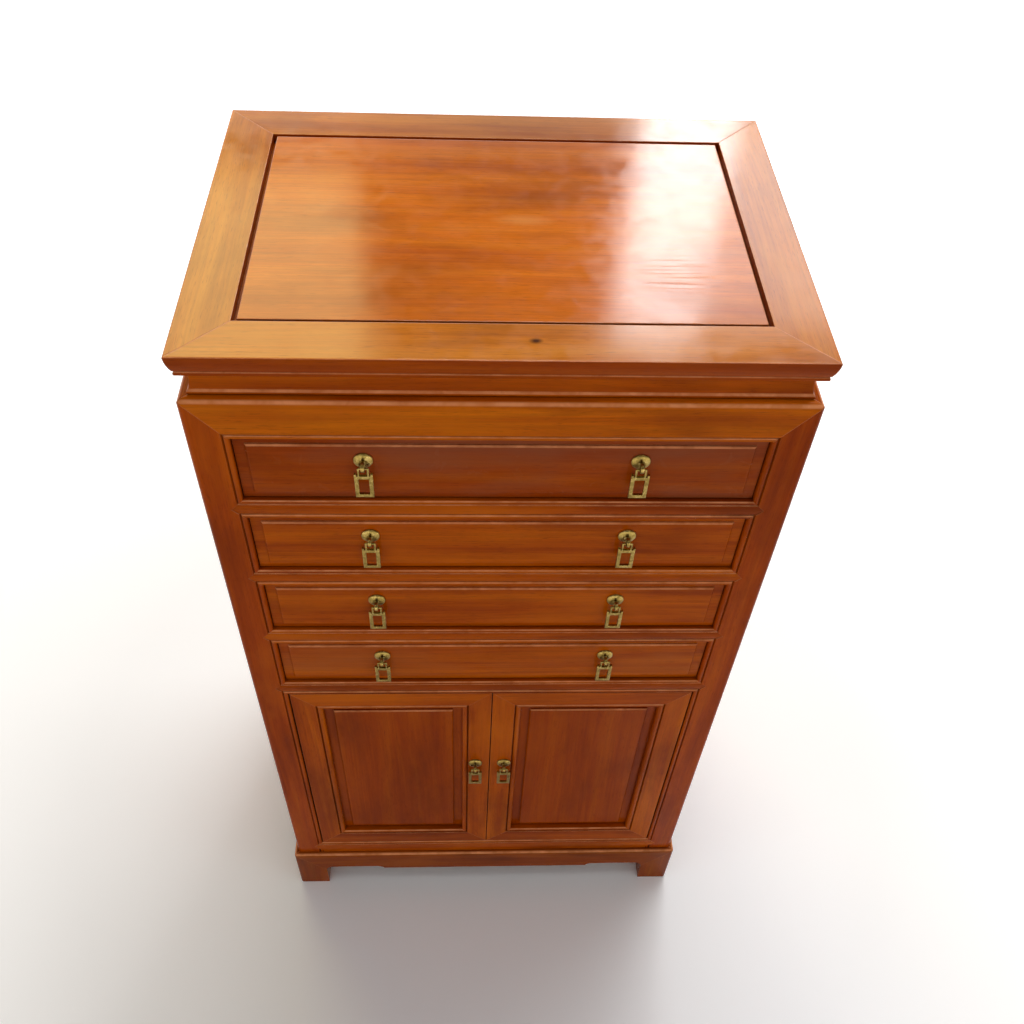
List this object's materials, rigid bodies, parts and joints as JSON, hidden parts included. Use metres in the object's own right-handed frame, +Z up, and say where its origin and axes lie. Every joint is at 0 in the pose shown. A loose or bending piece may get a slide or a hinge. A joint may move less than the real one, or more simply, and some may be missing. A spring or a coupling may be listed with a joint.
{
  "type": "cabinet",
  "caption": "Upright hardwood storage cabinet with a stack of pull-out drawers above a pair of hinged panelled doors, brass drop pulls, a waisted moulded top and a footed base.",
  "frame": {"origin": "middle of the plan at floor level", "axes": "+X to the right as one faces the doors, +Y to the back, +Z up; the doors face -Y"},
  "size_m": [0.52, 0.3822, 0.956],
  "materials": {
    "top_long_rosewood": "gloss",
    "top_short_rosewood": "gloss",
    "top_panel_rosewood": "gloss",
    "waist_rosewood": "gloss",
    "post_rosewood": "gloss",
    "rail_rosewood": "gloss",
    "drawer_front_rosewood": "gloss",
    "door_stile_rosewood": "gloss",
    "door_rail_rosewood": "gloss",
    "door_panel_rosewood": "gloss",
    "side_rail_rosewood": "gloss",
    "side_panel_rosewood": "gloss",
    "apron_long_rosewood": "gloss",
    "apron_short_rosewood": "gloss",
    "foot_rosewood": "gloss",
    "inner_wood": "satin",
    "drawer_box_wood": "satin",
    "drop_brass": "polished",
    "fixing_brass": "polished"
  },
  "bodies": {
    "carcass": {"back_left_post": "post_rosewood", "back_panel": "side_panel_rosewood", "back_rails": "rail_rosewood", "back_right_post": "post_rosewood", "base_feet": "foot_rosewood", "base_long_aprons": "apron_long_rosewood", "base_short_aprons": "apron_short_rosewood", "cupboard_boards": "inner_wood", "door_pivots": "fixing_brass", "door_stop": "inner_wood", "drawer_runners": "inner_wood", "front_bottom_rail": "rail_rosewood", "front_left_post": "post_rosewood", "front_rail_1": "rail_rosewood", "front_rail_2": "rail_rosewood", "front_rail_3": "rail_rosewood", "front_rail_4": "rail_rosewood", "front_right_post": "post_rosewood", "front_top_rail": "rail_rosewood", "left_panel": "side_panel_rosewood", "left_rails": "side_rail_rosewood", "right_panel": "side_panel_rosewood", "right_rails": "side_rail_rosewood", "top_frame_back": "top_long_rosewood", "top_frame_front": "top_long_rosewood", "top_frame_left": "top_short_rosewood", "top_frame_right": "top_short_rosewood", "top_panel": "top_panel_rosewood", "waist": "waist_rosewood"},
    "drawer_1": {"drawer_1_front": "drawer_front_rosewood", "drawer_1_box": "drawer_box_wood", "drawer_1_pull_fixings": "fixing_brass"},
    "drawer_1_left_drop": {"drawer_1_left_drop": "drop_brass"},
    "drawer_1_right_drop": {"drawer_1_right_drop": "drop_brass"},
    "drawer_2": {"drawer_2_front": "drawer_front_rosewood", "drawer_2_box": "drawer_box_wood", "drawer_2_pull_fixings": "fixing_brass"},
    "drawer_2_left_drop": {"drawer_2_left_drop": "drop_brass"},
    "drawer_2_right_drop": {"drawer_2_right_drop": "drop_brass"},
    "drawer_3": {"drawer_3_front": "drawer_front_rosewood", "drawer_3_box": "drawer_box_wood", "drawer_3_pull_fixings": "fixing_brass"},
    "drawer_3_left_drop": {"drawer_3_left_drop": "drop_brass"},
    "drawer_3_right_drop": {"drawer_3_right_drop": "drop_brass"},
    "drawer_4": {"drawer_4_front": "drawer_front_rosewood", "drawer_4_box": "drawer_box_wood", "drawer_4_pull_fixings": "fixing_brass"},
    "drawer_4_left_drop": {"drawer_4_left_drop": "drop_brass"},
    "drawer_4_right_drop": {"drawer_4_right_drop": "drop_brass"},
    "left_door": {"left_door_panel": "door_panel_rosewood", "left_door_pull_fixings": "fixing_brass", "left_door_rails": "door_rail_rosewood", "left_door_stiles": "door_stile_rosewood"},
    "left_door_drop": {"left_door_drop": "drop_brass"},
    "right_door": {"right_door_panel": "door_panel_rosewood", "right_door_pull_fixings": "fixing_brass", "right_door_rails": "door_rail_rosewood", "right_door_stiles": "door_stile_rosewood"},
    "right_door_drop": {"right_door_drop": "drop_brass"}
  },
  "joints": [
    {"name": "drawer_1_slide", "type": "slide", "parent": "carcass", "child": "drawer_1", "axis": [0, -1, 0], "range_m": [0, 0.25]},
    {"name": "drawer_1_left_drop_swing", "type": "hinge", "parent": "drawer_1", "child": "drawer_1_left_drop", "pos_m": [-0.115, -0.1851, 0.84465], "axis": [-1, 0, 0], "range_deg": [-5, 115]},
    {"name": "drawer_1_right_drop_swing", "type": "hinge", "parent": "drawer_1", "child": "drawer_1_right_drop", "pos_m": [0.115, -0.1851, 0.84465], "axis": [-1, 0, 0], "range_deg": [-5, 115]},
    {"name": "drawer_2_slide", "type": "slide", "parent": "carcass", "child": "drawer_2", "axis": [0, -1, 0], "range_m": [0, 0.25]},
    {"name": "drawer_2_left_drop_swing", "type": "hinge", "parent": "drawer_2", "child": "drawer_2_left_drop", "pos_m": [-0.115, -0.1851, 0.74915], "axis": [-1, 0, 0], "range_deg": [-5, 115]},
    {"name": "drawer_2_right_drop_swing", "type": "hinge", "parent": "drawer_2", "child": "drawer_2_right_drop", "pos_m": [0.115, -0.1851, 0.74915], "axis": [-1, 0, 0], "range_deg": [-5, 115]},
    {"name": "drawer_3_slide", "type": "slide", "parent": "carcass", "child": "drawer_3", "axis": [0, -1, 0], "range_m": [0, 0.25]},
    {"name": "drawer_3_left_drop_swing", "type": "hinge", "parent": "drawer_3", "child": "drawer_3_left_drop", "pos_m": [-0.115, -0.1851, 0.65365], "axis": [-1, 0, 0], "range_deg": [-5, 115]},
    {"name": "drawer_3_right_drop_swing", "type": "hinge", "parent": "drawer_3", "child": "drawer_3_right_drop", "pos_m": [0.115, -0.1851, 0.65365], "axis": [-1, 0, 0], "range_deg": [-5, 115]},
    {"name": "drawer_4_slide", "type": "slide", "parent": "carcass", "child": "drawer_4", "axis": [0, -1, 0], "range_m": [0, 0.25]},
    {"name": "drawer_4_left_drop_swing", "type": "hinge", "parent": "drawer_4", "child": "drawer_4_left_drop", "pos_m": [-0.115, -0.1851, 0.55815], "axis": [-1, 0, 0], "range_deg": [-5, 115]},
    {"name": "drawer_4_right_drop_swing", "type": "hinge", "parent": "drawer_4", "child": "drawer_4_right_drop", "pos_m": [0.115, -0.1851, 0.55815], "axis": [-1, 0, 0], "range_deg": [-5, 115]},
    {"name": "left_door_hinge", "type": "hinge", "parent": "carcass", "child": "left_door", "pos_m": [-0.2034, -0.1739, 0.302], "axis": [0, 0, -1], "range_deg": [0, 90]},
    {"name": "left_door_drop_swing", "type": "hinge", "parent": "left_door", "child": "left_door_drop", "pos_m": [-0.017, -0.1866, 0.3309], "axis": [-1, 0, 0], "range_deg": [-5, 115]},
    {"name": "right_door_hinge", "type": "hinge", "parent": "carcass", "child": "right_door", "pos_m": [0.2034, -0.1739, 0.302], "axis": [0, 0, 1], "range_deg": [0, 90]},
    {"name": "right_door_drop_swing", "type": "hinge", "parent": "right_door", "child": "right_door_drop", "pos_m": [0.017, -0.1866, 0.3309], "axis": [-1, 0, 0], "range_deg": [-5, 115]}
  ]
}
